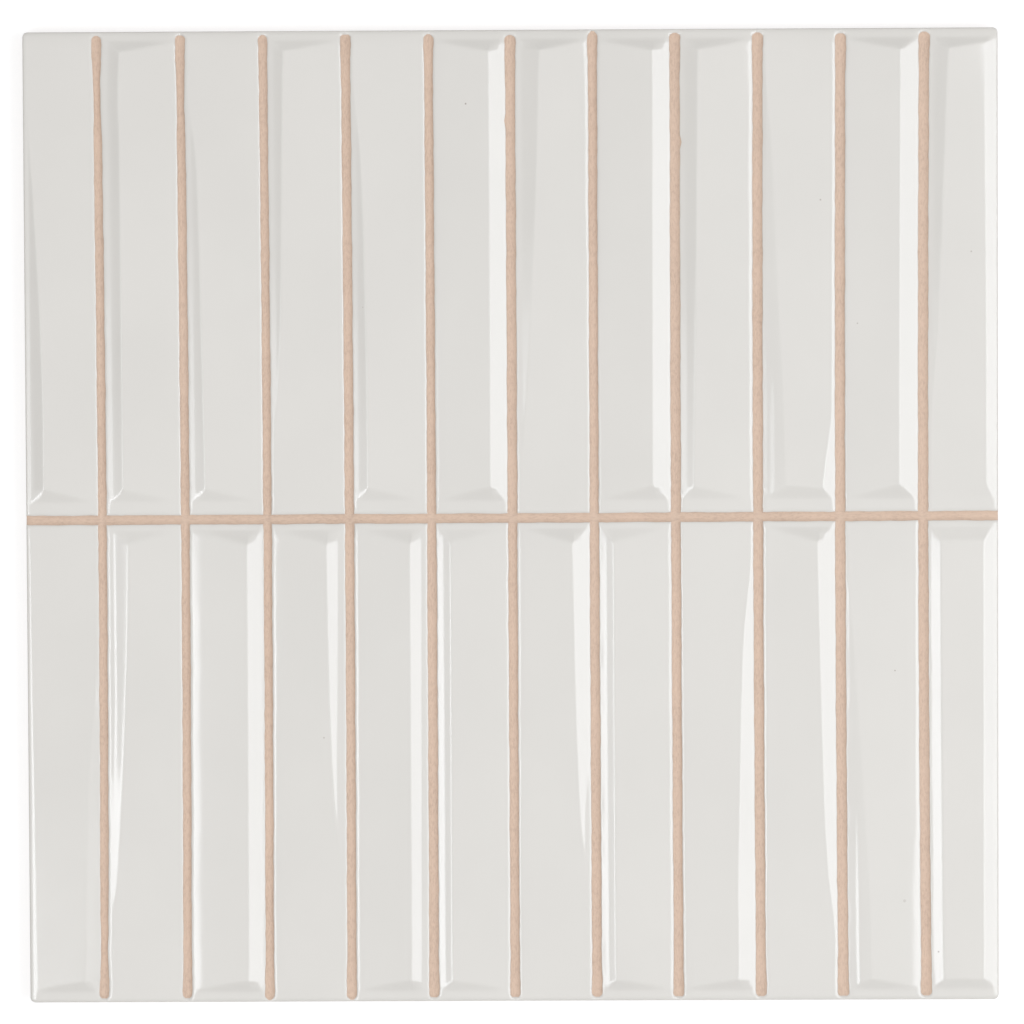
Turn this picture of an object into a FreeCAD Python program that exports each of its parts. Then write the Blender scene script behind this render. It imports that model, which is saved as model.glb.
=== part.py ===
import FreeCAD, Part

import math
import os

# A square glazed wall tile, pressed in one piece to look like two rows of upright finger tiles.
# It lies face up. X runs across the fingers, Y along them towards the upper row, and Z is up.
# The origin is the middle of the back. All sizes are in millimetres.

# Outline
tile_side = 298.0
rim_height = 7.8
edge_radius = 1.2
land_corner_radius = 0.3
foot_chamfer = 0.6

# Scored joints: the end columns are narrower than the others
end_column = 22.5
joint_mouth = 3.0
joint_depth = 1.2
lip_radius = 0.5
stop_at_top = 1.2
stop_at_bottom = 0.8

# Bevels rise from the rim at one angle, and each ridge stops short of its finger's ends
bevel_angle = 15.5
upper_row_runs = (5.6, 7.9)
lower_row_runs = (6.2, 5.3)

# Keying pattern of the back
back_border = 9.0
back_rib = 3.5
pocket_rows = 10
pocket_depth = 0.8

# Width of the bevels of each finger, from the left column to the right one.
# Each pair is a place along the finger, from 0 at its upper end to 1, and the width there.
upper_row = [
    {"left": [(0.16, 0), (0.59, 3.4), (0.79, 4.2)]},
    {"left": [(0, 5.0), (1, 5.4)]},
    {"left": [(0.14, 0), (0.34, 2.6), (0.68, 4.7), (0.94, 4.9)]},
    {"left": [(0, 5.0), (0.34, 4.7), (0.59, 3.4), (0.77, 1.5), (0.87, 0)]},
    {"left": [(0.07, 0), (0.26, 2.3), (0.68, 4.5), (0.94, 4.6)]},
    {"right": [(0, 4.6)]},
    {"left": [(0, 7.4), (0.34, 6.6), (0.68, 3.5), (0.96, 0)]},
    {"right": [(0, 4.7)]},
    {"left": [(0, 4.5), (1, 4.3)]},
    {"left": [(0.07, 0), (0.26, 2.1), (0.6, 5.0), (0.78, 6.1), (0.94, 6.5)],
     "right": [(0.78, 0), (0.94, 3.0)]},
    {"right": [(0, 4.7), (1, 5.2)]},
    {"left": [(0, 4.8), (0.26, 4.3), (0.6, 2.3), (0.89, 0)], "right": [(0, 1.4)]},
]
lower_row = [
    {"right": [(0.16, 0), (0.46, 2.4), (0.75, 3.6), (0.96, 4.1)]},
    {"left": [(0.16, 5.9), (0.5, 4.4), (0.75, 2.7), (0.93, 0)]},
    {"right": [(0, 4.6)]},
    {"right": [(0.16, 5.0), (0.5, 3.8), (0.69, 2.2), (0.84, 0)]},
    {"right": [(0, 4.9)]},
    {"left": [(0, 4.0)]},
    {"right": [(0, 5.2), (0.16, 5.0), (0.5, 3.5), (0.69, 2.3), (0.84, 0)]},
    {"left": [(0, 4.4), (1, 4.0)]},
    {"right": [(0.14, 0), (0.24, 2.1), (0.5, 3.6), (0.84, 4.8), (0.96, 5.0)]},
    {"right": [(0, 4.9), (0.25, 4.6), (0.58, 3.5), (0.73, 2.7), (0.81, 0)]},
    {"left": [(0.14, 0), (0.33, 2.3), (0.67, 5.2), (0.84, 6.1), (0.96, 6.5)]},
    {"left": [(0, 3.6), (1, 3.4)], "right": [(0, 3.0)]},
]

# Sizes that follow from those above
half_side = tile_side / 2
columns = len(upper_row)
joint_pitch = (tile_side - 2 * end_column) / (columns - 2)
half_mouth = joint_mouth / 2
bevel_rise = math.tan(math.radians(bevel_angle))

# Spare size of a cutting solid past the faces that it cuts
spare = 1.0


def vector(x, y, z):
    return FreeCAD.Vector(x, y, z)


def joint_place(number):
    """X of an upright joint, counted from the left, where joint 0 is the first one."""
    return (number - (columns - 2) / 2) * joint_pitch


def edges_at(solid, height):
    return [edge for edge in solid.Edges
            if all(abs(vertex.Z - height) < 1e-6 for vertex in edge.Vertexes)]


def slab():
    """The tile up to its rim, with a rounded top edge and a chamfered foot."""
    body = Part.makeBox(tile_side, tile_side, rim_height, vector(-half_side, -half_side, 0))
    upright = [edge for edge in body.Edges if abs(edge.tangentAt(edge.FirstParameter).z) > 0.5]
    body = body.makeFillet(edge_radius + land_corner_radius, upright)
    body = body.makeFillet(edge_radius, edges_at(body, rim_height))
    return body.makeChamfer(foot_chamfer, edges_at(body, 0))


def width_at(bevel, place):
    """Width of a bevel at a place along its finger, in straight steps between the given ones."""
    if place <= bevel[0][0]:
        return bevel[0][1]
    for (start, start_width), (end, end_width) in zip(bevel, bevel[1:]):
        if place <= end:
            return start_width + (end_width - start_width) * (place - start) / (end - start)
    return bevel[-1][1]


def finger_frame(column, is_upper):
    """Lowest and highest X, then lowest and highest Y, of a finger's raised face."""
    first, last = 0, columns - 1
    left = -half_side + edge_radius if column == first else joint_place(column - 1) + half_mouth
    right = half_side - edge_radius if column == last else joint_place(column) - half_mouth
    if is_upper:
        return left, right, half_mouth, half_side - edge_radius
    return left, right, -half_side + edge_radius, -half_mouth


def hipped_block(frame, height, run_up, run_low):
    """A block that stands on the rim, with sides at the bevel angle and ends of their own runs."""
    left, right, low, up = frame
    run_side = height / bevel_rise
    loops = []
    for level, side, end_up, end_low in ((0, 0, 0, 0), (height, run_side, run_up, run_low)):
        z = rim_height + level
        loops.append(Part.makePolygon([
            vector(left + side, low + end_low, z), vector(right - side, low + end_low, z),
            vector(right - side, up - end_up, z), vector(left + side, up - end_up, z),
            vector(left + side, low + end_low, z)]))
    return Part.makeLoft(loops, True, True)


def crown_line(frame, bevels, place):
    """The line across a finger that its crown follows at one place, reaching past its sides."""
    left, right, low, up = frame
    left_width = width_at(bevels.get("left", [(0, 0)]), place)
    right_width = width_at(bevels.get("right", [(0, 0)]), place)
    slope = bevel_rise * (right_width - left_width) / (right - left - left_width - right_width)
    level = bevel_rise * left_width - slope * left_width
    y = up - (up - low) * place
    if place == 0:
        y += spare
    if place == 1:
        y -= spare
    return Part.makeLine(
        vector(left - spare, y, rim_height + level - slope * spare),
        vector(right + spare, y, rim_height + level + slope * (right - left + spare)))


def raised_face(frame, bevels, runs):
    """The part of a finger above the rim: a warped crown between bevels and sloped ends."""
    steps = [step for bevel in bevels.values() for step in bevel]
    height = bevel_rise * max(width for place, width in steps) + spare / 2
    inset = []
    for place, run in ((0, runs[0]), (1, runs[1])):
        widest = max(width_at(bevel, place) for bevel in bevels.values())
        inset.append(height * run / (bevel_rise * widest) if widest > 0 else 0)
    block = hipped_block(frame, height, inset[0], inset[1])
    places = sorted({0, 1} | {place for place, width in steps})
    lines = [crown_line(frame, bevels, place) for place in places]
    waste = [Part.makeRuledSurface(start, end).extrude(vector(0, 0, height + spare))
             for start, end in zip(lines, lines[1:])]
    return block.cut(waste)


def joint_profile():
    """Half of a joint's section, from its floor to the rim: a round floor and a round lip."""
    floor = rim_height - joint_depth
    floor_radius = (half_mouth ** 2 + joint_depth ** 2) / (2 * joint_depth) - lip_radius
    floor_centre = vector(0, 0, floor + floor_radius)
    lip_centre = vector(half_mouth, 0, rim_height - lip_radius)
    towards_lip = (lip_centre - floor_centre).normalize()
    bend = floor_centre + towards_lip * floor_radius
    floor_middle = floor_centre + (towards_lip + vector(0, 0, -1)).normalize() * floor_radius
    lip_middle = lip_centre + (vector(0, 0, 1) - towards_lip).normalize() * lip_radius
    top = rim_height + spare
    bottom_point = vector(0, 0, floor)
    rim_point = vector(half_mouth, 0, rim_height)
    floor_arc = Part.Arc(bottom_point, floor_middle, bend).toShape()
    lip_arc = Part.Arc(bend, lip_middle, rim_point).toShape()
    sides = Part.makePolygon([rim_point, vector(half_mouth, 0, top), vector(0, 0, top), bottom_point])
    return Part.Face(Part.Wire([floor_arc, lip_arc] + sides.Edges))


def joint_cutter(length):
    """What a joint with open ends takes away: it runs along Y from the origin."""
    half = joint_profile()
    across = half.mirror(vector(0, 0, 0), vector(1, 0, 0)).fuse(half).removeSplitter().Faces[0]
    return across.extrude(vector(0, length, 0))


def round_ended(cutter, length):
    """The same joint with each end rounded in plan, where it stops inside the tile."""
    middle = Part.makeBox(
        joint_mouth, length - joint_mouth, joint_depth + 3 * spare,
        vector(-half_mouth, half_mouth, rim_height - joint_depth - spare))
    ends = [Part.makeCylinder(
        half_mouth, joint_depth + 3 * spare, vector(0, y, rim_height - joint_depth - spare))
        for y in (half_mouth, length - half_mouth)]
    return cutter.common(middle.fuse(ends))


def joint_cutters():
    """All joints: upright ones that stop short of the tile's edges, and a level one right across."""
    low = -half_side + stop_at_bottom
    length = tile_side - stop_at_bottom - stop_at_top
    upright = round_ended(joint_cutter(length), length)
    cutters = []
    for number in range(columns - 1):
        cutter = upright.copy()
        cutter.translate(vector(joint_place(number), low, 0))
        cutters.append(cutter)
    level = joint_cutter(tile_side + 2 * spare)
    level.rotate(vector(0, 0, 0), vector(0, 0, 1), -90)
    level.translate(vector(-half_side - spare, 0, 0))
    return cutters + [level]


def back_pockets():
    """Shallow square recesses in the back, which leave a grid of ribs for the adhesive."""
    side = (tile_side - 2 * back_border - (pocket_rows - 1) * back_rib) / pocket_rows
    pocket = Part.makeBox(side, side, pocket_depth + spare)
    first = -half_side + back_border
    pockets = []
    for row in range(pocket_rows):
        for column in range(pocket_rows):
            copy = pocket.copy()
            step = side + back_rib
            copy.translate(vector(first + column * step, first + row * step, -spare))
            pockets.append(copy)
    return pockets


def mosaic_tile():
    faces = []
    for is_upper, row, runs in ((True, upper_row, upper_row_runs), (False, lower_row, lower_row_runs)):
        for column, bevels in enumerate(row):
            faces.append(raised_face(finger_frame(column, is_upper), bevels, runs))
    tile = slab().fuse(faces).removeSplitter()
    tile = tile.cut(joint_cutters())
    return tile.cut(back_pockets())


os.makedirs("parts", exist_ok=True)
tile = mosaic_tile()
tile.exportStep("parts/mosaic_tile.step")
print("mosaic_tile", tile.isValid(), len(tile.Solids), len(tile.Faces), round(tile.Volume))
print(tile.BoundBox)
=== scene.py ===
import math

import bpy
import numpy as np
from bpy.props import FloatProperty, FloatVectorProperty, IntProperty, PointerProperty
from mathutils import Euler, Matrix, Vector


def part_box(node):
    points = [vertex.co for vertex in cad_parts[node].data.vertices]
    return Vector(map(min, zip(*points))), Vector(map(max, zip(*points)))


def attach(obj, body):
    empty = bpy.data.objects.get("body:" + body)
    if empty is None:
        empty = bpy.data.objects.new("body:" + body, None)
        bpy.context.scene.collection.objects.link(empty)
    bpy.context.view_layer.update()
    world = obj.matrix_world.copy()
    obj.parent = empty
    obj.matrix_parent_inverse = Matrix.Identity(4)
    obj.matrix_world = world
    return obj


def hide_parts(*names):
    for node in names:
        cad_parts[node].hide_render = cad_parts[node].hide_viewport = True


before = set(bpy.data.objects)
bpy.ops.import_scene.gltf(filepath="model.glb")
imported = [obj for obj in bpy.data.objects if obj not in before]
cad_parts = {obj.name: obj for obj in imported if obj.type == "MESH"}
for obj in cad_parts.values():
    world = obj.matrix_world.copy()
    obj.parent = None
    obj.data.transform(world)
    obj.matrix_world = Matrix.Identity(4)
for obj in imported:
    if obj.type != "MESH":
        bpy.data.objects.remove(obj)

bl_info = {
    "name": "Finger Mosaic Wall Tile",
    "version": (1, 0, 0),
    "blender": (4, 5, 0),
    "location": "View3D > Sidebar > Wall Tile",
    "description": "A pressed wall tile with bevelled glazed fingers between scored clay joints",
    "category": "Add Mesh",
}

MM = 0.001
NODE = "mosaic_tile"
LOW_CORNER, HIGH_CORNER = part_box(NODE)

# Places along a finger run from 0 at its upper end to 1 at its lower end. Lengths are in millimetres.
# "left" and "right" say how far from its lip the round ridge of a bevel shines: a place, and the
# distance there. A bevel is hollow at its foot: each group of four is a place, how far from the lip
# the foot starts, how soft it is, and how steep the bevel is there beside the usual angle.
# "left_ridge" makes a left ridge softer or sharper. "left_step" lowers the inner part of a left bevel:
# a place, and the height there.
LEFT_FOOT = [(0, 0.4, 0.7, 1)]
COVED_FOOT = [(0, 0.65, 0.8, 0.95)]
WIDE_FOOT = [(0, 1.0, 1.1, 1)]
RIGHT_FOOT = [(0, 0.1, 0.4, 1)]
UPPER_ROW = [
    {"left": [(0.16, 0), (0.59, 3.4), (0.79, 4.2)]},
    {"left": [(0, 4.8), (0.26, 4.5), (1, 4.3)], "left_foot": [(0, 1.4, 1.5, 1)]},
    {"left": [(0.12, 0), (0.26, 2.4), (0.43, 3.0), (0.76, 3.7), (0.9, 4.1)],
     "left_foot": WIDE_FOOT},
    {"left": [(0, 4.2), (0.26, 3.4), (0.6, 2.6), (0.76, 1.3), (0.87, 0)], "left_foot": WIDE_FOOT},
    {"left": [(0.1, 0), (0.26, 2.1), (0.43, 2.9), (0.76, 3.6)], "left_foot": [(0, 0.6, 0.9, 1)]},
    {"right": [(0, 4.4), (1, 4.6)]},
    {"left": [(0, 6.7), (0.26, 5.8), (0.43, 4.8), (0.76, 2.2), (0.93, 0)],
     "left_foot": [(0, 0.9, 0.9, 0.85)]},
    {"right": [(0, 4.6), (1, 4.8)]},
    {"left": [(0, 4.7), (0.43, 4.2), (0.9, 3.4)], "left_foot": [(0, 0.35, 0.8, 1.05)]},
    {"left": [(0.07, 0), (0.26, 2.3), (0.6, 4.4), (0.76, 5.6), (0.9, 6.2)],
     "left_foot": [(0, -0.2, 0.4, 0.62)], "left_step": [(0.66, 0), (0.8, 0.08)],
     "right": [(0.8, 0), (0.94, 3.0)]},
    {"right": [(0, 4.9), (1, 5.1)]},
    {"left": [(0, 5.1), (0.26, 4.0), (0.43, 3.2), (0.6, 2.1), (0.76, 0.6), (0.85, 0)],
     "right": [(0, 2.2)], "right_foot": [(0, 0.1, 0.4, 0.75)]},
]
LOWER_ROW = [
    {"right": [(0.24, 0), (0.37, 0.9), (0.5, 2.4), (0.75, 3.6), (0.9, 4.0)],
     "right_foot": [(0, 0.1, 0.5, 0.85)]},
    {"left": [(0, 6.0), (0.24, 5.5), (0.5, 4.1), (0.62, 3.5), (0.75, 2.5), (0.82, 0.6)],
     "left_foot": [(0.1, 1.55, 0.5, 0.67), (0.37, 1.7, 0.5, 0.67), (0.5, 1.3, 0.6, 0.62),
                   (0.62, 0.6, 0.9, 0.47)], "left_ridge": 1.2},
    {"right": [(0, 4.5)]},
    {"right": [(0.1, 5.1), (0.37, 4.5), (0.5, 3.8), (0.62, 2.9), (0.74, 0)],
     "right_foot": [(0.1, 1.2, 0.8, 1), (0.5, 1.7, 0.8, 1), (0.62, 1.8, 0.7, 1)]},
    {"right": [(0, 4.7)], "right_foot": [(0.1, 1.0, 0.7, 1), (0.9, 1.5, 0.7, 1)]},
    {"left": [(0, 3.6), (1, 3.4)], "left_foot": COVED_FOOT},
    {"right": [(0, 4.8), (0.1, 4.5), (0.37, 3.9), (0.5, 3.3), (0.62, 2.7), (0.8, 0)],
     "right_foot": [(0.45, 0.1, 0.4, 1), (0.62, 1.3, 0.7, 1)]},
    {"left": [(0, 3.7), (1, 3.6)], "left_foot": [(0, 0.6, 0.8, 1.02)]},
    {"right": [(0.08, 0), (0.24, 2.4), (0.37, 3.2), (0.5, 3.6), (0.75, 4.6)]},
    {"right": [(0, 4.9), (0.24, 4.2), (0.5, 3.4), (0.62, 3.0), (0.75, 1.9), (0.86, 0)]},
    {"left": [(0.12, 0), (0.24, 1.5), (0.37, 2.9), (0.5, 4.0), (0.62, 4.8), (0.75, 5.9),
              (0.88, 6.3)],
     "left_foot": [(0, -0.2, 0.4, 0.58)], "left_step": [(0.54, 0), (0.62, 0.07), (0.8, 0.12)]},
    {"left": [(0, 3.1)], "left_foot": [(0, 0.2, 0.4, 1.03)], "right": [(0, 3.0)]},
]
# Each finger is level for a margin at its upper and lower end, and its ridges start after a run
UPPER_ENDS = ((2.0 * MM, 5.2 * MM), (3.6 * MM, 7.9 * MM))
LOWER_ENDS = ((1.2 * MM, 6.0 * MM), (2.3 * MM, 5.3 * MM))
COLUMNS = len(UPPER_ROW)
NO_CREST = [(0, 0)]
# A right ridge has its crest nearer to where it shines than a left one has
RIGHT_SHARE = 0.6
# A ridge this far from its lip, or farther, is full grown
FULL_BEVEL = 3.0 * MM
# How far from the lip the step of a left bevel lies, and how gentle it is
STEP_PLACE, STEP_EASE = 2.3 * MM, 0.45 * MM

# The upright joints were scored by hand. Each group of three is how far a joint lies to the right
# of its even place, and half the width of its clay in the upper and in the lower row.
JOINTS = [
    (0.2, 1.27, 1.27), (0.5, 1.3, 1.27), (0.55, 1.25, 1.25), (0.55, 1.38, 1.38), (0.6, 1.3, 1.43),
    (0.25, 1.47, 1.37), (0.15, 1.32, 1.44), (0, 1.5, 1.42), (0, 1.5, 1.47), (0, 1.49, 1.55),
    (0.25, 1.53, 1.52),
]
# Where glaze has run into a joint: the joint, the place in Y and how much narrower each side is
GLAZE_RUNS = [(0, 128, 0.3), (1, 128, 0.2), (0, -133, 0.25)]
# Chips at the glaze edge: the joint, which side of it, the place in Y, and the depth and length
CHIPS = [(7, 1, 114.5, 0.5, 1.2), (5, -1, 121.6, 0.45, 1.0)]
# Small marks in the glaze: the place in X and Y, the radius and how dark the mark is
GLAZE_MARKS = [
    (-13.5, 126.5, 0.35, 0.8), (130.5, -134.2, 0.35, 0.7), (117.3, -47.6, 0.3, 0.6),
    (94.8, 96.7, 0.35, 0.5), (140.8, 80.7, 0.35, 0.45), (106.0, 58.9, 0.3, 0.45),
    (-58.0, -67.5, 0.35, 0.4), (-45.3, 64.5, 0.22, 0.35), (120.1, -118.5, 0.6, 0.25),
]
MARK_COLOUR = (0.35, 0.29, 0.24)
# Edges of the mesh that turn by more than this stay sharp
SHARPEST_SMOOTH_EDGE = math.radians(48)
# Each lamp's name, place, width and length, and the setting of its radiance
LAMPS = [
    ("softbox_right", (0.80, -0.07, 1.12), 0.72, 0.75, "right_glow"),
    ("softbox_left", (-0.58, -0.34, 1.25), 0.22, 0.56, "left_glow"),
    ("side_lamp", (-0.58, -0.01, 1.25), 0.22, 0.14, "side_glow"),
    ("left_halo", (-0.80, -0.40, 1.25), 0.46, 0.80, "halo_glow"),
]
LAMP_COLOUR = (0.93, 0.96, 1.0)
# The camera of the photograph: its focal length in millimetres, place and tilt in degrees
FOCAL_LENGTH = 182.75
CAMERA_PLACE = (0.0146, 0.0653)
CAMERA_TILT = (-2.294, 0.512, -0.276)
# The camera sees the floor as white of its own, with a share of lit paper that keeps the shadow
FLOOR_WHITE = 0.7
FLOOR_PAPER = 0.42


def length_property(name, description, default):
    return FloatProperty(name=name, description=description, default=default, min=0, unit="LENGTH",
                         precision=5)


def level_property(name, description, default):
    return FloatProperty(name=name, description=description, default=default, min=0)


def colour_property(name, description, default):
    return FloatVectorProperty(name=name, description=description, default=default, subtype="COLOR")


class TileShape(bpy.types.PropertyGroup):
    side: length_property("Side", "Length of each side of the tile", HIGH_CORNER.x - LOW_CORNER.x)
    rim_height: length_property("Rim height", "Height of the finger edges over the back", 7.8 * MM)
    edge_radius: length_property("Edge radius", "Rounding of the tile's upper edge", 0.45 * MM)
    land: length_property("Land", "From each side to the start of the fingers' relief", 1.2 * MM)
    corner_radius: length_property("Corner radius", "Rounding of the tile's corners in plan", 1.5 * MM)
    foot_chamfer: length_property("Foot chamfer", "Chamfer round the back", 0.6 * MM)
    end_column: length_property("End column", "From the tile's side to its first joint", 22.5 * MM)
    ridge_softness: length_property("Ridge softness", "Height over which a ridge is rounded", 0.18 * MM)
    shoulder: length_property("Shoulder", "Width over which a left bevel eases at its ridge", 1.0 * MM)
    shoulder_ease: level_property("Shoulder ease", "Slope lost on the shoulder", 0.1)
    ridge_reach: length_property("Ridge reach", "From the shine on a ridge to its crest", 0.33 * MM)
    end_softness: length_property("End softness", "Height over which an end is rounded", 0.14 * MM)
    end_foot: length_property("End foot", "Width of the hollow at the foot of an end", 0.7 * MM)
    bevel_angle: FloatProperty(name="Bevel angle", description="Steepest slope of the bevels",
                               default=math.radians(18), subtype="ANGLE")
    glaze_waves: length_property("Glaze waves", "Height of the slow waves of the glaze", 0.008 * MM)
    joint_bow: length_property("Joint bow", "How far the outer joints bow in at mid height", 0.8 * MM)
    joint_lean: length_property("Joint lean", "How far the joints lean to each side", 0.15 * MM)


class JointShape(bpy.types.PropertyGroup):
    mouth: length_property("Mouth", "Width of a joint from lip to lip", 3.8 * MM)
    depth: length_property("Depth", "Depth of a joint under the rim", 0.92 * MM)
    lip_width: length_property("Lip width", "Width of the steep part of a glazed lip", 0.12 * MM)
    lip_radius: length_property("Lip radius", "Rounding of the glazed lips", 0.35 * MM)
    roll_width: length_property("Roll width", "Width of the gentle roll beside the clay", 1.2 * MM)
    roll_fall: length_property("Roll fall", "Fall of the gentle roll beside the clay", 0.207 * MM)
    level_clay: length_property("Level clay", "Width of the clay in the level joint", 2.86 * MM)
    level_drop: length_property("Level drop", "How far the level joint lies below the middle", 0.28 * MM)
    level_lean: length_property("Level lean", "How far the level joint rises to the right", 0.15 * MM)
    clay_width: length_property("Clay width", "Width of the bare clay in a joint", 2.6 * MM)
    glaze_step: length_property("Glaze step", "Thickness of the glaze at its edge", 0.09 * MM)
    waver: length_property("Waver", "How far the glaze edge wanders", 0.11 * MM)
    stop_at_top: length_property("Stop at top", "Glaze between a joint and the upper side", 1.1 * MM)
    stop_at_bottom: length_property("Stop at bottom", "Glaze between a joint and the lower side",
                                    0.8 * MM)


class BackShape(bpy.types.PropertyGroup):
    border: length_property("Border", "Flat border round the keyed back", 9.0 * MM)
    rib: length_property("Rib", "Width of a keying rib", 3.5 * MM)
    pocket_rows: IntProperty(name="Pocket rows", description="Recesses along each side", default=10,
                             min=1)
    pocket_depth: length_property("Pocket depth", "Depth of a recess", 0.8 * MM)
    draft: length_property("Draft", "How far the wall of a recess leans", 0.25 * MM)


class TileFinish(bpy.types.PropertyGroup):
    glaze_colour: colour_property("Glaze", "Colour of the gloss glaze", (0.785, 0.757, 0.712))
    thin_glaze_colour: colour_property("Thin glaze", "Glaze where it runs thin", (0.73, 0.69, 0.645))
    clay_colour: colour_property("Clay", "Colour of the fired clay", (0.73, 0.557, 0.44))
    dark_clay_colour: colour_property("Dark clay", "Darker grains of the clay", (0.60, 0.44, 0.345))
    glaze_roughness: FloatProperty(name="Glaze roughness", description="Roughness of the glaze",
                                   default=0.11, min=0, max=1)


class StudioSettings(bpy.types.PropertyGroup):
    camera_height: length_property("Camera height", "Height of the camera over the floor", 1.6)
    right_glow: level_property("Right softbox", "Radiance of the right lamp", 4.1)
    left_glow: level_property("Left softbox", "Radiance of the left lamp", 5.7)
    side_glow: level_property("Side lamp", "Radiance of the weak lamp at the left", 2.2)
    halo_glow: level_property("Left halo", "Radiance of the haze round the left lamp", 1.0)
    room_level: level_property("Room light", "Radiance of the walls", 0.42)
    ceiling_level: level_property("Ceiling light", "Added radiance overhead", 1.35)


def smooth_min(first, second, softness):
    """The lower of two heights, rounded where they cross."""
    blend = np.clip(0.5 + 0.5 * (second - first) / softness, 0, 1)
    return second + (first - second) * blend - softness * blend * (1 - blend)


def ripple(place, seed, waves):
    """A smooth wandering value of about -1 to 1 along a line, the sum of a few fixed waves."""
    random = np.random.default_rng(seed)
    total = np.zeros_like(place)
    for wave in waves:
        stretch = random.uniform(0.8, 1.25)
        turn = random.uniform(0, 2 * math.pi)
        total = total + np.sin(place * 2 * math.pi / (wave * stretch) + turn)
    return total / math.sqrt(len(waves) * 2)


def distance_at(crest, place):
    """Distance of a crest from its lip, with the corners of the given steps softened."""
    places = [step[0] for step in crest]
    distances = [step[1] * MM for step in crest]
    reach = 0.04
    taps = [np.interp(place + shift, places, distances) for shift in np.linspace(-reach, reach, 7)]
    return np.mean(taps, axis=0)


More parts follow.
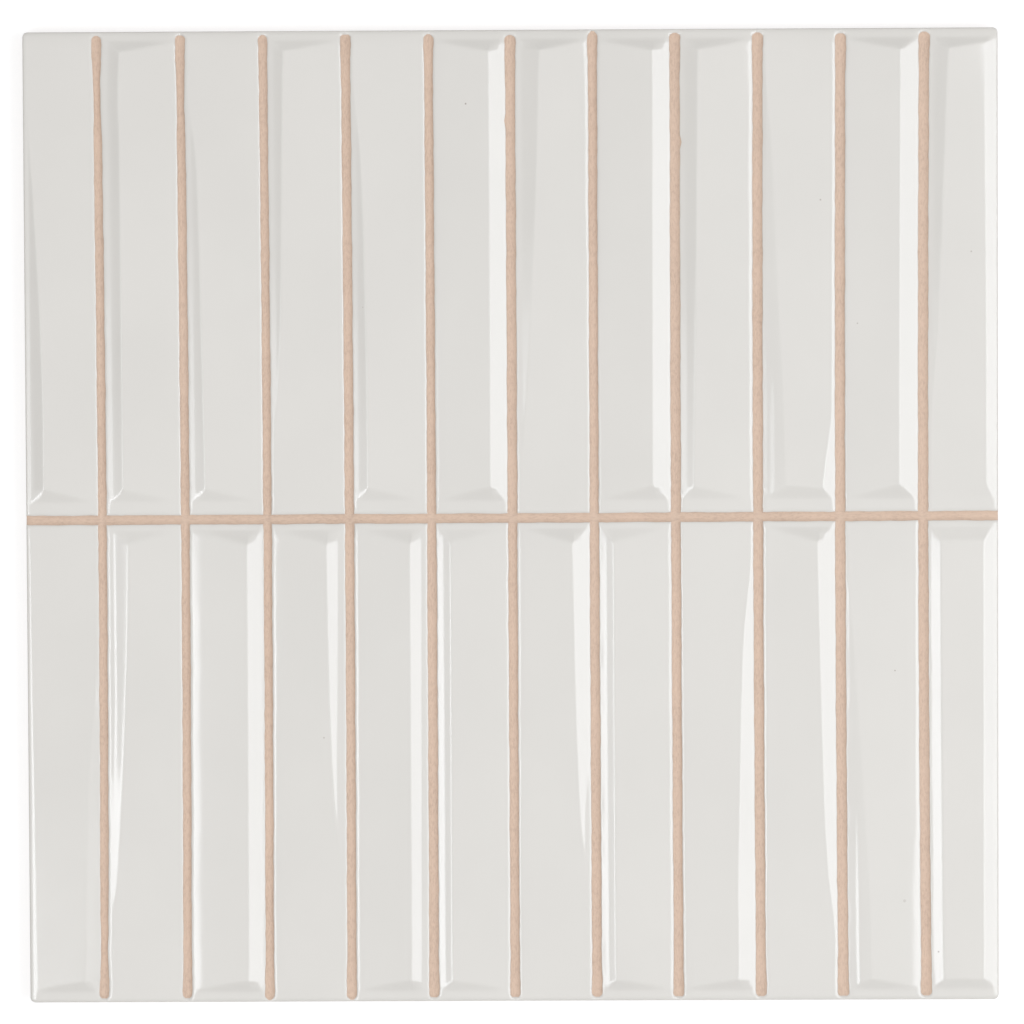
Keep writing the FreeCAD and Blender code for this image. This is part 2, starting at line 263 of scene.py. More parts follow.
class TileSurface:
    """Heights and grid lines of the tile's face, worked out from the add-on's settings."""

    def __init__(self, shape, joint):
        self.shape = shape
        self.joint = joint
        self.half = shape.side / 2
        self.pitch = (shape.side - 2 * shape.end_column) / (COLUMNS - 2)
        self.mouth = joint.mouth / 2
        self.clay = joint.clay_width / 2
        self.rise = math.tan(shape.bevel_angle)

    def joint_place(self, number, y):
        """X of an upright joint's middle line, which bows in at mid height and leans a little."""
        even = (number - (COLUMNS - 2) / 2) * self.pitch
        bow = self.shape.joint_bow * even / self.half * (1 - (y / self.half) ** 2)
        return even + JOINTS[number][0] * MM - bow - self.shape.joint_lean * y / self.half

    def waver(self, along, seed):
        return self.joint.waver * ripple(along, seed, (3.1 * MM, 6.5 * MM, 14 * MM, 40 * MM))

    def joint_half(self, number, y):
        """Half the width of the clay in an upright joint, with the waver left off."""
        _, upper, lower = JOINTS[number]
        change = 12 * MM
        width = np.interp(y, [-change, change], [lower * MM, upper * MM])
        flare, flare_start, flare_reach = 0.2 * MM, 14 * MM, 10 * MM
        width = width + flare * np.clip((np.abs(y) - self.half + flare_start) / flare_reach, 0, 1)
        run_length = 8 * MM
        for joint, place, less in GLAZE_RUNS:
            if joint == number:
                width = width - less * MM * np.exp(-((y - place * MM) / run_length) ** 2)
        return width

    def glaze_edge(self, number, side, y):
        """Distance from an upright joint's middle line to the wandering glaze edge on one side."""
        edge = self.joint_half(number, y) + self.waver(y, 2 * number + (1 if side < 0 else 2))
        for joint, chipped, place, deep, long in CHIPS:
            if joint == number and chipped == side:
                edge = edge + deep * MM * np.exp(-((y - place * MM) / (long * MM)) ** 2)
        return edge

    def level_edge(self, x, side):
        """Distance from the level joint's middle line to its glaze edge above or below."""
        return self.joint.level_clay / 2 + self.waver(x, 501 if side > 0 else 502)

    def level_place(self, x):
        """Y of the level joint's middle line."""
        return self.joint.level_lean * x / self.half - self.joint.level_drop

    def lips(self, column, y):
        """X of a finger's two lips, or of the start of the tile's rounded edge."""
        lip = self.mouth - self.clay
        left = np.full_like(y, -self.half + self.shape.land)
        right = -left
        if column > 0:
            left = self.joint_place(column - 1, y) + self.joint_half(column - 1, y) + lip
        if column < COLUMNS - 1:
            right = self.joint_place(column, y) - self.joint_half(column, y) - lip
        return left, right

    def ends(self, is_upper):
        """Y of the lower and upper lips of a row of fingers."""
        edge = self.half - self.shape.land
        return (self.mouth, edge) if is_upper else (-edge, -self.mouth)

    def bevel(self, distance, foot, place):
        """Height of a bevel over the rim: hollow at its foot, then straight."""
        places, starts, softnesses, steepnesses = zip(*foot)
        start = np.interp(place, places, starts) * MM
        softness = np.interp(place, places, softnesses) * MM
        past = np.maximum(distance, 0) - start
        at_lip = np.hypot(start, softness) - start
        steepness = self.rise * 0.5 * np.interp(place, places, steepnesses)
        return steepness * (past + np.sqrt(past ** 2 + softness ** 2) - at_lip)

    def end_slope(self, distance, margin, run, height):
        """Height of the sloped end of a finger: level for a margin, and at the ridge after its run."""
        foot = self.shape.end_foot
        start = math.hypot(margin, foot)

        def rise(place):
            return place - margin + np.hypot(place - margin, foot) + margin - start

        return np.maximum(height, 0.3 * MM) * rise(np.maximum(distance, 0)) / rise(run)

    def relief(self, x, y, column, is_upper):
        """Height of one finger over the rim."""
        crests = (UPPER_ROW if is_upper else LOWER_ROW)[column]
        runs = UPPER_ENDS if is_upper else LOWER_ENDS
        left_crest, right_crest = crests.get("left", NO_CREST), crests.get("right", NO_CREST)
        left_foot, right_foot = crests.get("left_foot", LEFT_FOOT), crests.get("right_foot", RIGHT_FOOT)
        left, right = self.lips(column, y)
        low, up = self.ends(is_upper)
        place = (up - y) / (up - low)
        left_width = self.crest(left_crest, place)
        right_width = self.crest(right_crest, place, RIGHT_SHARE)
        left_height = self.bevel(left_width, left_foot, place) - self.shoulder(left_width, left_width)
        right_height = self.bevel(right_width, right_foot, place)
        span = (right - right_width) - (left + left_width)
        crown = left_height + (right_height - left_height) * (x - left - left_width) / span
        tops = [max(self.bevel(self.crest(left_crest, end), left_foot, end)[0],
                    self.bevel(self.crest(right_crest, end, RIGHT_SHARE), right_foot, end)[0])
                for end in (np.zeros(1), np.ones(1))]
        bevel = self.bevel(x - left, left_foot, place) - self.shoulder(x - left, left_width)
        softness = self.ridge_softness(left_width, 0.6 * crests.get("left_ridge", 1))
        height = smooth_min(crown, bevel, softness)
        softness = self.ridge_softness(right_width, 1)
        height = smooth_min(height, self.bevel(right - x, right_foot, place), softness)
        if "left_step" in crests:
            places, steps = zip(*crests["left_step"])
            step = np.interp(place, places, steps) * MM
            height = height + step * 0.5 * (np.tanh((x - left - STEP_PLACE) / STEP_EASE) - 1)
        softness = self.shape.end_softness
        height = smooth_min(height, self.end_slope(up - y, *runs[0], tops[0]), softness)
        return smooth_min(height, self.end_slope(y - low, *runs[1], tops[1]), softness)

    def ridge_softness(self, width, share):
        """Height over which a ridge is rounded: less where its bevel is narrow."""
        return share * self.shape.ridge_softness * np.clip(width / FULL_BEVEL, 0.25, 1)

    def crest(self, shine, place, share=1):
        """Distance of a crest from its lip: a little past where its round ridge shines."""
        distance = distance_at(shine, place)
        return distance + share * self.shape.ridge_reach * np.clip(distance / (1.5 * MM), 0, 1)

    def shoulder(self, distance, width):
        """How far a left bevel falls short of its straight slope, as it eases near its ridge."""
        reach = self.shape.shoulder * np.clip(width / FULL_BEVEL, 0.05, 1)
        past = np.maximum(distance - width + reach, 0)
        ease = np.minimum(past, reach) ** 2 / (2 * reach) + np.maximum(past - reach, 0)
        return self.shape.shoulder_ease * ease * np.clip(width / FULL_BEVEL, 0, 1)

    def joint_section(self, distance):
        """Height of a joint's section under the rim, at a distance from its middle line."""
        joint = self.joint
        past = np.maximum(distance - self.clay, 0)
        reach = np.maximum(joint.lip_width - past, 0)
        lip = np.sqrt(joint.lip_radius ** 2 - reach ** 2) - joint.lip_radius
        roll = -joint.roll_fall * np.clip(1 - past / joint.roll_width, 0, 1) ** 2
        edge = np.clip((distance - self.clay + 0.02 * MM) / (0.14 * MM), 0, 1)
        step = -joint.glaze_step * (1 - np.sqrt(1 - (1 - edge) ** 2))
        clay_edge = (lip + roll).min() - joint.glaze_step
        floor = (-joint.depth - clay_edge) * (1 - np.minimum(distance / self.clay, 1) ** 2) + clay_edge
        return np.where(distance < self.clay, floor, lip + roll + step)

    def edge_round(self, inset):
        radius = self.shape.edge_radius
        reach = np.clip(radius - inset, 0, radius)
        return np.sqrt(radius ** 2 - reach ** 2) - radius

    def edge_roll(self, x, y):
        """How far the glaze rolls down inside each side of the tile, more at the right and below."""
        place = np.clip(0.5 - y / self.shape.side, 0, 1)
        left_reach = np.interp(place, [0.5, 0.55, 1], [1.0, 1.3, 2.3]) * MM
        left_slope = np.interp(place, [0.5, 0.54, 0.74, 0.84, 0.95], [0.03, 0.108, 0.092, 0.073, 0.058])
        sides = ((self.half + x, left_reach, left_slope, 1.3), (self.half - x, 2.0 * MM, 0.06, 2),
                 (self.half - y, 4.5 * MM, 0.08, 2), (self.half + y, 1.5 * MM, 0.065, 2))
        return sum(slope * reach * np.clip(1 - inset / reach, 0, 1) ** power
                   for inset, reach, slope, power in sides)

    def stops(self, number):
        """Y of the lower and upper tips of the clay in an upright joint."""
        random = np.random.default_rng(100 + number)
        low = -self.half + self.joint.stop_at_bottom + random.uniform(-0.2, 0.3) * MM
        up = self.half - self.joint.stop_at_top - random.uniform(-0.3, 0.5) * MM
        return low, up


def spaced(start, end, count):
    """Even steps from start to end, without the end."""
    return [start + (end - start) * step / count for step in range(count)]


# Shares of the way across a lip, a joint's clay and the land inside the tile's sides
LIP_STEPS = [0, 0.06, 0.2, 0.42, 0.7]
CLAY_STEPS = [-1, -0.94, -0.75, -0.45, 0, 0.45, 0.75, 0.94]
EDGE_STEPS = [0, 0.03, 0.14, 0.42]
# Farthest places of the grid lines on a bevel's foot, in millimetres from its lip
FOOT_LINES = [0, 0.4, 0.95, 1.9]
FINE_FOOT_LINES = [0, 0.5, 1.1, 1.8, 2.3, 2.8, 3.4]
# Shares of half a ridge's width
RIDGE_LINES = [-1, -0.6, -0.2, 0.2, 0.6, 1]
# The two fingers of a column need the same number of grid lines, so these columns have lines for
# two ridges, and for a finely divided foot at the left and at the right, in both rows
TWO_RIDGES = (0, 9, 11)
FINE_LEFT_FEET = (1, 9, 10)
FINE_RIGHT_FEET = (10,)
# Grid rows of each end zone of a finger and of its middle, and the length of an end zone
END_ROWS, MIDDLE_ROWS = 20, 57
END_ZONE = 8.4 * MM


def ridge_lines(lip, width, sign, is_fine):
    """X of the grid lines from a lip over a bevel's foot and its ridge."""
    half_ridge = 0.65 * MM
    width = np.maximum(width, 1.5 * MM)
    limits = FINE_FOOT_LINES if is_fine else FOOT_LINES
    foot = [np.minimum((width - half_ridge) * share, limit * MM)
            for limit, share in zip(limits, spaced(0, 1, len(limits)))]
    ridge = [width + half_ridge * share for share in RIDGE_LINES]
    return [lip + sign * distance for distance in foot + ridge]


def finger_lines(surface, column, is_upper, y):
    """X of the grid lines of one finger, from its left clay edge or lip to its right one."""
    crests = (UPPER_ROW if is_upper else LOWER_ROW)[column]
    foot_left, foot_right = surface.lips(column, y)
    low, up = surface.ends(is_upper)
    place = np.clip((up - y) / (up - low), 0, 1)
    rows = []
    if column > 0:
        edge = surface.joint_place(column - 1, y) + surface.glaze_edge(column - 1, 1, y)
        rows += [edge + (foot_left - edge) * share for share in LIP_STEPS]
    closing = []
    if column < COLUMNS - 1:
        edge = surface.joint_place(column, y) - surface.glaze_edge(column, -1, y)
        closing = [edge + (foot_right - edge) * share for share in reversed(LIP_STEPS)]
    span_start, span_end = foot_left, foot_right
    opening, ending = [], []
    if "left" in crests or column in TWO_RIDGES:
        width = surface.crest(crests.get("left", NO_CREST), place)
        opening = ridge_lines(foot_left, width, 1, column in FINE_LEFT_FEET)
        span_start = opening[-1]
    if "right" in crests or column in TWO_RIDGES:
        width = surface.crest(crests.get("right", NO_CREST), place, RIGHT_SHARE)
        ending = ridge_lines(foot_right, width, -1, column in FINE_RIGHT_FEET)
        span_end = ending[-1]
        ending.reverse()
    roll_end = 0.65 * MM
    if opening and ending:
        crown = spaced(span_start, span_end, 5)[1:]
    elif opening:
        crown = spaced(span_start, span_end - roll_end, 5)[1:] + [span_end - roll_end, span_end]
    else:
        crown = [span_start] + spaced(span_start + roll_end, span_end, 5)
    return rows + opening + crown + ending + closing


def clay_lines(surface, number, y):
    """X of the grid lines inside the clay of an upright joint, between its two glaze edges."""
    middle = surface.joint_place(number, y)
    left = -surface.glaze_edge(number, -1, y)
    right = surface.glaze_edge(number, 1, y)
    return [middle + left + (right - left) * (share + 1) / 2 for share in CLAY_STEPS[1:]]


def grid_columns(surface, is_upper, y):
    """X of every grid line at each Y of one row of fingers, and which strips are joint clay."""
    land, half = surface.shape.land, surface.half
    ones = np.ones_like(y)
    lines = [(-half + land * share) * ones for share in EDGE_STEPS]
    clay_strips = {}
    for column in range(COLUMNS):
        lines += finger_lines(surface, column, is_upper, y)
        if column < COLUMNS - 1:
            first = len(lines) - 1
            lines += clay_lines(surface, column, y)
            for strip in range(first, len(lines)):
                clay_strips[strip] = column
    lines += [(half - land * share) * ones for share in reversed(EDGE_STEPS)]
    return np.array(lines), clay_strips


def row_places(surface):
    """Y of the grid rows: the lower row's, the level joint's clay, and the upper row's."""
    edge = [-surface.half + surface.shape.land * share for share in EDGE_STEPS]
    low, up = surface.ends(False)
    finger = (spaced(low, low + END_ZONE, END_ROWS)
              + spaced(low + END_ZONE, up - END_ZONE, MIDDLE_ROWS)
              + spaced(up - END_ZONE, up, END_ROWS) + [up])
    lip = surface.mouth - surface.clay
    lips = [up + lip * (1 - share) for share in reversed(LIP_STEPS)]
    below = edge + finger + lips
    clay = [surface.clay * share for share in CLAY_STEPS[1:]]
    return np.array(below), np.array(clay), np.array([-y for y in reversed(below)])


def build_face(surface):
    """X and Y of the face's grid points, their Y without waver, and the strips and rows of clay."""
    below, clay, above = row_places(surface)
    low_lines, strips = grid_columns(surface, False, below)
    up_lines, _ = grid_columns(surface, True, above)
    share = (clay + surface.clay) / (2 * surface.clay)
    middle_lines = low_lines[:, -1:] * (1 - share) + up_lines[:, :1] * share
    x = np.concatenate([low_lines, middle_lines, up_lines], axis=1)
    y = np.tile(np.concatenate([below, clay, above]), (x.shape[0], 1))
    level_first = len(below) - 1
    level_last = len(below) + len(clay)
    nominal_y = y.copy()
    ease = 1.0 * MM
    for row in range(x.shape[1]):
        offset = abs(y[0, row])
        if offset < surface.mouth + ease:
            hold = np.clip((surface.mouth + ease - offset) / ease, 0, 1)
            reach = min(offset / surface.clay, 1.0)
            side = np.sign(y[0, row])
            y[:, row] += side * (surface.level_edge(x[:, row], side) - surface.clay) * hold * reach
    return x, y, nominal_y, strips, level_first, level_last


def upright_joint_field(surface, x, y):
    """Distance of each point from its nearest upright joint, as if each joint were even."""
    nearest = np.full_like(x, 1.0)
    for number in range(COLUMNS - 1):
        low, up = surface.stops(number)
        across = x - surface.joint_place(number, y)
        edge = np.where(across < 0, surface.glaze_edge(number, -1, y),
                        surface.glaze_edge(number, 1, y))
        across = evened(np.abs(across), edge, surface.clay)
        past = np.maximum(np.maximum(y - (up - surface.clay), (low + surface.clay) - y), 0)
        nearest = np.minimum(nearest, np.hypot(across, past))
    return nearest


def evened(distance, edge, usual):
    """A distance from a joint's middle line, stretched so that the glaze edge is at its usual place."""
    return np.where(distance < edge, distance * usual / edge, distance - edge + usual)


def face_heights(surface, x, y):
    """Height of the face over the rim at each grid point."""
    height = np.zeros_like(x)
    for column in range(COLUMNS):
        left, right = surface.lips(column, y)
        inside = (x >= left - surface.mouth) & (x <= right + surface.mouth)
        for is_upper in (False, True):
            pick = inside & ((y >= 0) if is_upper else (y < 0))
            if pick.any():
                height[pick] = surface.relief(x[pick], y[pick], column, is_upper)
    waves = surface.shape.glaze_waves
    slow = ripple(x + 0.35 * y, 11, (31 * MM, 47 * MM)) * ripple(y - 0.2 * x, 12, (38 * MM, 61 * MM))
    height = height + waves * slow
    upright = surface.joint_section(upright_joint_field(surface, x, y))
    edge = np.where(y > 0, surface.level_edge(x, 1), surface.level_edge(x, -1))
    level = surface.joint_section(evened(np.abs(y), edge, surface.clay))
    inset = surface.half - np.maximum(np.abs(x), np.abs(y))
    edge = surface.edge_round(inset) - surface.edge_roll(x, y)
    return height + np.minimum(upright, level) + edge


def rounded_plan(surface, x, y):
    """Moves the grid's outer lines in, so that the tile's corners are round in plan."""
    radius = surface.shape.corner_radius
    start = surface.half - radius
    along_x = np.clip((np.abs(x) - start) / radius, 0, 1)
    along_y = np.clip((np.abs(y) - start) / radius, 0, 1)
    both = (along_x > 0) & (along_y > 0)
    new_x = np.where(both, np.sign(x) * (start + radius * along_x * np.sqrt(1 - along_y ** 2 / 2)), x)
    new_y = np.where(both, np.sign(y) * (start + radius * along_y * np.sqrt(1 - along_x ** 2 / 2)), y)
    return new_x, new_y


def pinch_tips(surface, x, y, strips):
    """Draws the clay lines together at the round tips of the upright joints."""
    for number in range(COLUMNS - 1):
        lines = sorted(strip for strip, joint in strips.items() if joint == number)
        lines = lines + [lines[-1] + 1]
        low, up = surface.stops(number)
        for line in lines:
            middle = surface.joint_place(number, y[line])
            past = np.maximum(y[line] - (up - surface.clay), (low + surface.clay) - y[line])
            past = np.clip(past / surface.clay, 0, 1)
            narrowest = 0.3
            x[line] = middle + (x[line] - middle) * np.maximum(np.sqrt(1 - past ** 2), narrowest)
    return x


def grid_quads(numbers):
    """Quads between the points of a grid, given by their numbers."""
    corners = (numbers[:-1, :-1], numbers[1:, :-1], numbers[1:, 1:], numbers[:-1, 1:])
    return np.stack(corners, axis=-1).reshape(-1, 4)


def border_ring(numbers):
    """The numbers of a grid's outer points, in order round it."""
    return np.concatenate([numbers[:, 0], numbers[-1, 1:], numbers[-2::-1, -1], numbers[0, -2:0:-1]])


def clay_quads(surface, nominal_y, strips, level_first, level_last):
    """Which quads of the face's grid are bare clay."""
    clay = np.zeros((nominal_y.shape[0] - 1, nominal_y.shape[1] - 1), bool)
    for strip, number in strips.items():
        low, up = surface.stops(number)
        middle_y = (nominal_y[strip, 1:] + nominal_y[strip, :-1]) / 2
        clay[strip] = (middle_y > low) & (middle_y < up)
    clay[:, level_first:level_last] = True
    return clay


def side_rings(surface, rim_points):
    """Rings of points down the tile's sides, from the wandering end of the glaze to the back."""
    shape = surface.shape
    along = np.concatenate([[0], np.cumsum(np.linalg.norm(np.diff(rim_points, axis=0), axis=1))])
    glaze_end = shape.rim_height - shape.edge_radius - 0.9 * MM
    glaze_end = glaze_end + 0.35 * MM * ripple(along, 77, (9 * MM, 23 * MM, 60 * MM))
    inward = np.sign(rim_points[:, :2]) * np.where(
        np.abs(rim_points[:, :2]) > surface.half - shape.corner_radius, 1, 0)
    glaze = 0.06 * MM
    rings = []
    for level, inset in ((glaze_end + glaze, 0.0), (glaze_end, glaze), (shape.foot_chamfer, glaze),
                         (0.0, shape.foot_chamfer)):
        ring = rim_points.copy()
        ring[:, 2] = level
        ring[:, :2] -= inward * inset
        rings.append(ring)
    return rings


def tile_mesh(surface, back):
    """The whole tile as one closed mesh: glazed face, sides and keyed back."""
    x, y, nominal_y, strips, level_first, level_last = build_face(surface)
    x = pinch_tips(surface, x, nominal_y, strips)
    z = surface.shape.rim_height + face_heights(surface, x, y)
    near_level = np.clip(1.5 - np.abs(nominal_y) / (16 * MM), 0, 1)
    y = y + surface.level_place(x) * near_level ** 2 * (3 - 2 * near_level)
    x, y = rounded_plan(surface, x, y)
    points = [np.stack([x.ravel(), y.ravel(), z.ravel()], axis=1)]
    numbers = np.arange(x.size).reshape(x.shape)
    quads = [grid_quads(numbers)]
    flags = [clay_quads(surface, nominal_y, strips, level_first, level_last).ravel()]
    previous = border_ring(numbers)
    count = x.size
    for step, ring_points in enumerate(side_rings(surface, points[0][previous])):
        ring = np.arange(count, count + len(previous))
        points.append(ring_points)
        quads.append(np.stack([previous, ring, np.roll(ring, -1), np.roll(previous, -1)], axis=1))
        flags.append(np.full(len(ring), step > 0))
        previous = ring
        count += len(ring)
    back_points, back_quads, back_ring = keyed_back(surface, back, count)
    all_points = np.concatenate(points + [back_points])
    all_quads = np.concatenate(quads + [back_quads])
    all_flags = np.concatenate(flags + [np.ones(len(back_quads), bool)])
    return all_points, all_quads, all_flags, bridge_rings(all_points, previous, back_ring)


def keyed_back(surface, back, first):
    """The back's grid of ribs and recesses, up to a ring inside its border."""
    half = surface.half
    side = (2 * (half - back.border) - (back.pocket_rows - 1) * back.rib) / back.pocket_rows
    margin = 1.0 * MM
    places, floors = [-half + back.border - margin], [False]
    for pocket in range(back.pocket_rows):
        start = -half + back.border + pocket * (side + back.rib)
        places += [start, start + back.draft, start + side - back.draft, start + side]
        floors += [False, True, True, False]
    places.append(half - back.border + margin)
    floors.append(False)
    places, floors = np.array(places), np.array(floors)
    x, y = np.meshgrid(places, places, indexing="ij")
    z = np.where(floors[:, None] & floors[None, :], back.pocket_depth, 0.0)
    count = len(places)
    numbers = first + np.arange(count * count).reshape(count, count)
    facing_down = grid_quads(numbers)[:, [0, 3, 2, 1]]
    return np.stack([x.ravel(), y.ravel(), z.ravel()], axis=1), facing_down, border_ring(numbers)


def bridge_rings(points, outer, inner):
    """Triangles between two rings on the back, each taken in turn by the angle of its points."""
    turn = 2 * math.pi

    def angles(ring):
        """Rising angles of a ring's points, then of its first point once more and of no point."""
        angle = np.unwrap(np.arctan2(points[ring, 1], points[ring, 0]))
        return np.concatenate([angle, [angle[0] + turn, math.inf]])

    outer_angle, inner_angle = angles(outer), angles(inner)
    inner_angle = inner_angle + turn * round((outer_angle[0] - inner_angle[0]) / turn)
    triangles = []
    at_outer = at_inner = 0
    while at_outer < len(outer) or at_inner < len(inner):
        here = (outer[at_outer % len(outer)], inner[at_inner % len(inner)])
        if outer_angle[at_outer + 1] <= inner_angle[at_inner + 1]:
            at_outer += 1
            triangles.append((*here, outer[at_outer % len(outer)]))
        else:
            at_inner += 1
            triangles.append((*here, inner[at_inner % len(inner)]))
    return np.array(triangles)


def new_material(name):
    """A material with an output and no shader yet. Returns it, its nodes, its links and the output."""
    material = bpy.data.materials.new(name)
    material.use_nodes = True
    nodes, links = material.node_tree.nodes, material.node_tree.links
    nodes.clear()
    return material, nodes, links, nodes.new("ShaderNodeOutputMaterial").inputs["Surface"]


def vector_math(nodes, links, operation, vector, other):
    node = nodes.new("ShaderNodeVectorMath")
    node.operation = operation
    node.inputs[1].default_value = other
    links.new(vector, node.inputs[0])
    return node.outputs["Value" if operation == "DISTANCE" else "Vector"]


def add_bump(nodes, links, shader, height, strength, distance):
    bump = nodes.new("ShaderNodeBump")
    bump.inputs["Strength"].default_value = strength
    bump.inputs["Distance"].default_value = distance
    links.new(height, bump.inputs["Height"])
    links.new(bump.outputs["Normal"], shader.inputs["Normal"])


def noise(nodes, links, coordinates, scale, detail=3.0, roughness=0.55):
    node = nodes.new("ShaderNodeTexNoise")
    node.inputs["Scale"].default_value = scale
    node.inputs["Detail"].default_value = detail
    node.inputs["Roughness"].default_value = roughness
    links.new(coordinates, node.inputs["Vector"])
    return node.outputs["Fac"]


def remap(nodes, links, value, low, high, new_low=0.0, new_high=1.0):
    node = nodes.new("ShaderNodeMapRange")
    node.inputs["From Min"].default_value = low
    node.inputs["From Max"].default_value = high
    node.inputs["To Min"].default_value = new_low
    node.inputs["To Max"].default_value = new_high
    links.new(value, node.inputs["Value"])
    return node.outputs["Result"]


def mix_colours(nodes, links, factor, first, second):
    node = nodes.new("ShaderNodeMix")
    node.data_type = "RGBA"
    links.new(factor, node.inputs["Factor"])
    for socket, colour in ((node.inputs["A"], first), (node.inputs["B"], second)):
        if isinstance(colour, bpy.types.NodeSocket):
            links.new(colour, socket)
        else:
            socket.default_value = (*colour, 1.0)
    return node.outputs["Result"]


def glaze_material(finish):
    """Gloss glaze: slightly clouded white, thinner and warmer on the lips, with a few small marks."""
    material, nodes, links, surface = new_material("gloss_glaze")
    shader = nodes.new("ShaderNodeBsdfPrincipled")
    links.new(shader.outputs["BSDF"], surface)
    place = nodes.new("ShaderNodeTexCoord").outputs["Object"]
    shader.inputs["IOR"].default_value = 1.52
    cloud = remap(nodes, links, noise(nodes, links, place, 22.0), 0.35, 0.65)
    darker = tuple(0.975 * part for part in finish.glaze_colour)
    colour = mix_colours(nodes, links, cloud, darker, tuple(finish.glaze_colour))
    thin = nodes.new("ShaderNodeAttribute")
    thin.attribute_name = "thin_glaze"
    colour = mix_colours(nodes, links, thin.outputs["Fac"], colour, tuple(finish.thin_glaze_colour))
    flat_place = vector_math(nodes, links, "MULTIPLY", place, (1, 1, 0))
    for mark_x, mark_y, radius, dark in GLAZE_MARKS:
        away = vector_math(nodes, links, "DISTANCE", flat_place, (mark_x * MM, mark_y * MM, 0))
        shade = remap(nodes, links, away, radius * MM, radius * 0.5 * MM, 0.0, dark)
        colour = mix_colours(nodes, links, shade, colour, MARK_COLOUR)
    links.new(colour, shader.inputs["Base Color"])
    rough = remap(nodes, links, noise(nodes, links, place, 60.0), 0.3, 0.7,
                  finish.glaze_roughness * 0.85, finish.glaze_roughness * 1.15)
    links.new(rough, shader.inputs["Roughness"])
    add_bump(nodes, links, shader, noise(nodes, links, place, 420.0, 2.0), 0.25, 0.02 * MM)
    return material


def clay_material(finish):
    """Bare fired clay: matt, pink-beige and finely grained, with its grain drawn along each joint."""
    material, nodes, links, surface = new_material("fired_clay")
    shader = nodes.new("ShaderNodeBsdfPrincipled")
    links.new(shader.outputs["BSDF"], surface)
    place = nodes.new("ShaderNodeTexCoord").outputs["Object"]
    shader.inputs["Specular IOR Level"].default_value = 0.25
    strokes = []
    for stretch in ((1, 0.3, 1), (0.3, 1, 1)):
        stretched = vector_math(nodes, links, "MULTIPLY", place, stretch)
        strokes.append(noise(nodes, links, stretched, 2000.0, 3.0, 0.7))
    parts = nodes.new("ShaderNodeSeparateXYZ")
    links.new(place, parts.inputs["Vector"])
    from_middle = math_node(nodes, links, "ABSOLUTE", parts.outputs["Y"], 0.0)
    level = remap(nodes, links, from_middle, 1.9 * MM, 1.5 * MM)
    grain = mix_colours(nodes, links, level, strokes[0], strokes[1])
    grains = remap(nodes, links, grain, 0.44, 0.68, 0.0, 0.85)
    patches = remap(nodes, links, noise(nodes, links, place, 90.0), 0.35, 0.7, 0.0, 0.35)
    colour = mix_colours(nodes, links, grains, tuple(finish.clay_colour),
                         tuple(finish.dark_clay_colour))
    pale = tuple(min(1.0, 1.12 * part) for part in finish.clay_colour)
    colour = mix_colours(nodes, links, patches, colour, pale)
    links.new(colour, shader.inputs["Base Color"])
    links.new(remap(nodes, links, grain, 0.3, 0.7, 0.82, 0.95), shader.inputs["Roughness"])
    add_bump(nodes, links, shader, grain, 0.4, 0.06 * MM)
    return material


class TILE_OT_add_tile(bpy.types.Operator):
    """Adds the pressed tile: glazed fingers, scored clay joints, sides and keyed back"""
    bl_idname = "tile.add_tile"
    bl_label = "Add Wall Tile"

    def execute(self, context):
        scene = context.scene
        surface = TileSurface(scene.tile_shape, scene.joint_shape)
        points, quads, clay, border = tile_mesh(surface, scene.back_shape)
        mesh = bpy.data.meshes.new("pressed_tile")
        mesh.from_pydata(points.tolist(), [], quads.tolist() + border.tolist())
        mesh.materials.append(glaze_material(scene.tile_finish))
        mesh.materials.append(clay_material(scene.tile_finish))
        slots = np.concatenate([clay, np.ones(len(border), bool)]).astype(np.int32)
        mesh.polygons.foreach_set("material_index", slots)
        mesh.polygons.foreach_set("use_smooth", np.ones(len(mesh.polygons), bool))
        x, y = points[:, 0], points[:, 1]
        level_edge = np.where(y > 0, surface.level_edge(x, 1), surface.level_edge(x, -1))
        level = evened(np.abs(y - surface.level_place(x)), level_edge, surface.clay)
        nearest = np.minimum(upright_joint_field(surface, x, y), level)
        thin = np.clip((surface.mouth - nearest) / (surface.mouth - surface.clay), 0, 1)
        attribute = mesh.attributes.new("thin_glaze", "FLOAT", "POINT")
        thinnest = 0.6
        attribute.data.foreach_set("value", (thinnest * thin ** 2).astype(np.float32))
        mesh.set_sharp_from_angle(angle=SHARPEST_SMOOTH_EDGE)
        mesh.update()
        tile = bpy.data.objects.new("pressed_tile", mesh)
        scene.collection.objects.link(tile)
        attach(tile, "root")
        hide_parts(NODE)
        return {"FINISHED"}


def add_softbox(name, place, width, length, glow):
    """A lamp of one radiance that leans towards the tile."""
    lamp = bpy.data.lights.new(name, "AREA")
    lamp.color = LAMP_COLOUR
    lamp.shape = "RECTANGLE"
    lamp.size = width
    lamp.size_y = length
    lamp.energy = glow * math.pi * width * length
    holder = bpy.data.objects.new(name, lamp)
    holder.location = place
    holder.rotation_euler = Euler((0, math.atan2(place[0], place[2]), 0))
    bpy.context.scene.collection.objects.link(holder)


def math_node(nodes, links, operation, first, second):
    node = nodes.new("ShaderNodeMath")
    node.operation = operation
    for socket, value in zip(node.inputs, (first, second)):
        if isinstance(value, bpy.types.NodeSocket):
            links.new(value, socket)
        else:
            socket.default_value = value
    return node.outputs["Value"]


def fading(nodes, links, value, near, far):
    """Fades smoothly from one, where the value is near, to nothing, where it is far."""
    faded = remap(nodes, links, value, near, far, 1.0, 0.0)
    faded.node.interpolation_type = "SMOOTHSTEP"
    return faded


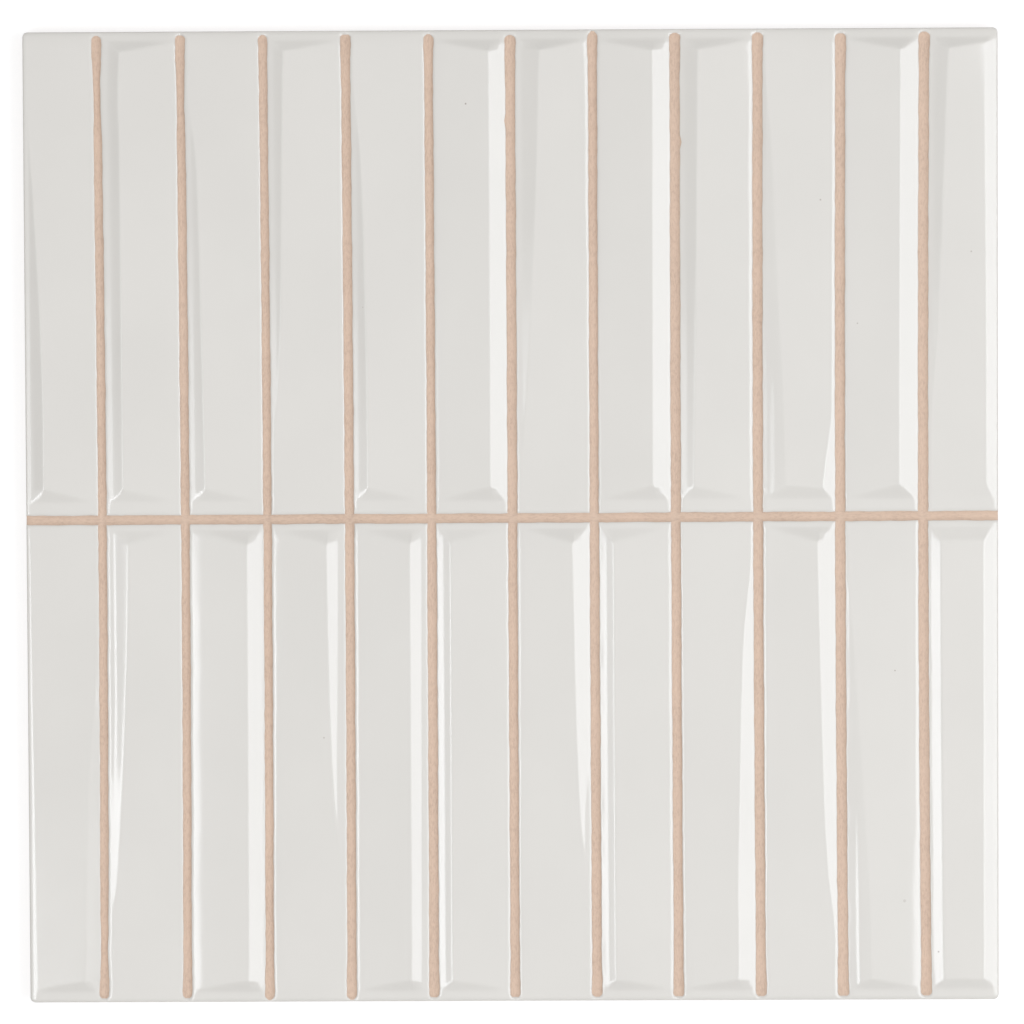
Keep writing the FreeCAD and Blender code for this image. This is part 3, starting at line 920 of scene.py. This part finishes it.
def shown_to_camera(tree, shown, lit):
    """A shader that shows one thing to the camera and lights the scene as another."""
    nodes, links = tree.nodes, tree.links
    path = nodes.new("ShaderNodeLightPath")
    mix = nodes.new("ShaderNodeMixShader")
    links.new(path.outputs["Is Camera Ray"], mix.inputs["Fac"])
    links.new(lit, mix.inputs[1])
    links.new(shown, mix.inputs[2])
    return mix.outputs["Shader"]


class TILE_OT_add_stage(bpy.types.Operator):
    """Adds the pale floor, the softboxes, the room light and the camera over the tile"""
    bl_idname = "tile.add_stage"
    bl_label = "Add Studio"

    def execute(self, context):
        scene = context.scene
        studio = scene.studio_settings
        self.add_floor(scene)
        self.add_room(scene, studio)
        for name, place, width, length, glow in LAMPS:
            add_softbox(name, place, width, length, getattr(studio, glow))
        lens = bpy.data.cameras.new("photo_camera")
        lens.lens = FOCAL_LENGTH
        lens.sensor_width = 36.0
        lens.clip_start, lens.clip_end = 0.05, 20.0
        camera = bpy.data.objects.new("photo_camera", lens)
        camera.location = (*CAMERA_PLACE, studio.camera_height)
        camera.rotation_euler = Euler([math.radians(angle) for angle in CAMERA_TILT])
        scene.collection.objects.link(camera)
        scene.camera = camera
        scene.view_settings.view_transform = "Standard"
        return {"FINISHED"}

    def add_floor(self, scene):
        size = 3.0
        mesh = bpy.data.meshes.new("studio_floor")
        low = -0.02 * MM
        corners = [(-size, -size, low), (size, -size, low), (size, size, low), (-size, size, low)]
        mesh.from_pydata(corners, [], [(0, 1, 2, 3)])
        material, nodes, links, surface = new_material("studio_floor")
        shades = []
        for kind, level in (("ShaderNodeBsdfDiffuse", 0.8), ("ShaderNodeEmission", FLOOR_WHITE),
                            ("ShaderNodeBsdfDiffuse", FLOOR_PAPER)):
            node = nodes.new(kind)
            node.inputs["Color"].default_value = (level, level, level, 1)
            shades.append(node.outputs[0])
        shown = nodes.new("ShaderNodeAddShader")
        links.new(shades[1], shown.inputs[0])
        links.new(shades[2], shown.inputs[1])
        links.new(shown_to_camera(material.node_tree, shown.outputs[0], shades[0]), surface)
        mesh.materials.append(material)
        floor = bpy.data.objects.new("studio_floor", mesh)
        scene.collection.objects.link(floor)

    def add_room(self, scene, studio):
        """A pale ceiling that fades towards the walls, and plain white where the camera looks."""
        world = bpy.data.worlds.new("studio_room")
        world.use_nodes = True
        nodes, links = world.node_tree.nodes, world.node_tree.links
        nodes.clear()
        output = nodes.new("ShaderNodeOutputWorld")
        lit = nodes.new("ShaderNodeBackground")
        shown = nodes.new("ShaderNodeBackground")
        shown.inputs["Strength"].default_value = 1.0
        direction = nodes.new("ShaderNodeSeparateXYZ")
        links.new(nodes.new("ShaderNodeTexCoord").outputs["Generated"], direction.inputs["Vector"])
        overhead = fading(nodes, links, direction.outputs["X"], 0.2, 0.75)
        for axis, near, far in (("X", -0.2, -0.62), ("Y", 0.12, 0.55), ("Y", -0.12, -0.55)):
            side = fading(nodes, links, direction.outputs[axis], near, far)
            overhead = math_node(nodes, links, "MULTIPLY", overhead, side)
        ceiling = math_node(nodes, links, "MULTIPLY", overhead, studio.ceiling_level)
        links.new(math_node(nodes, links, "ADD", ceiling, studio.room_level),
                  lit.inputs["Strength"])
        links.new(shown_to_camera(world.node_tree, shown.outputs[0], lit.outputs[0]),
                  output.inputs["Surface"])
        scene.world = world


class TILE_PT_panel(bpy.types.Panel):
    """Lists the steps that make the tile and its studio"""
    bl_label = "Wall Tile"
    bl_idname = "TILE_PT_panel"
    bl_space_type = "VIEW_3D"
    bl_region_type = "UI"
    bl_category = "Wall Tile"

    def draw(self, context):
        layout = self.layout
        for name in SETTINGS:
            group = getattr(context.scene, name)
            box = layout.box()
            for key in group.__annotations__:
                box.prop(group, key)
        for operator in OPERATORS:
            layout.operator(operator.bl_idname)


SETTINGS = {
    "tile_shape": TileShape,
    "joint_shape": JointShape,
    "back_shape": BackShape,
    "tile_finish": TileFinish,
    "studio_settings": StudioSettings,
}
OPERATORS = (TILE_OT_add_stage, TILE_OT_add_tile)


def register():
    for name, group in SETTINGS.items():
        bpy.utils.register_class(group)
        setattr(bpy.types.Scene, name, PointerProperty(type=group))
    for operator in OPERATORS:
        bpy.utils.register_class(operator)
    bpy.utils.register_class(TILE_PT_panel)


def unregister():
    bpy.utils.unregister_class(TILE_PT_panel)
    for operator in reversed(OPERATORS):
        bpy.utils.unregister_class(operator)
    for name, group in SETTINGS.items():
        delattr(bpy.types.Scene, name)
        bpy.utils.unregister_class(group)


def main():
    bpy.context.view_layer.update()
    register()
    bpy.ops.tile.add_stage()
    bpy.ops.tile.add_tile()


if __name__ == "__main__":
    main()
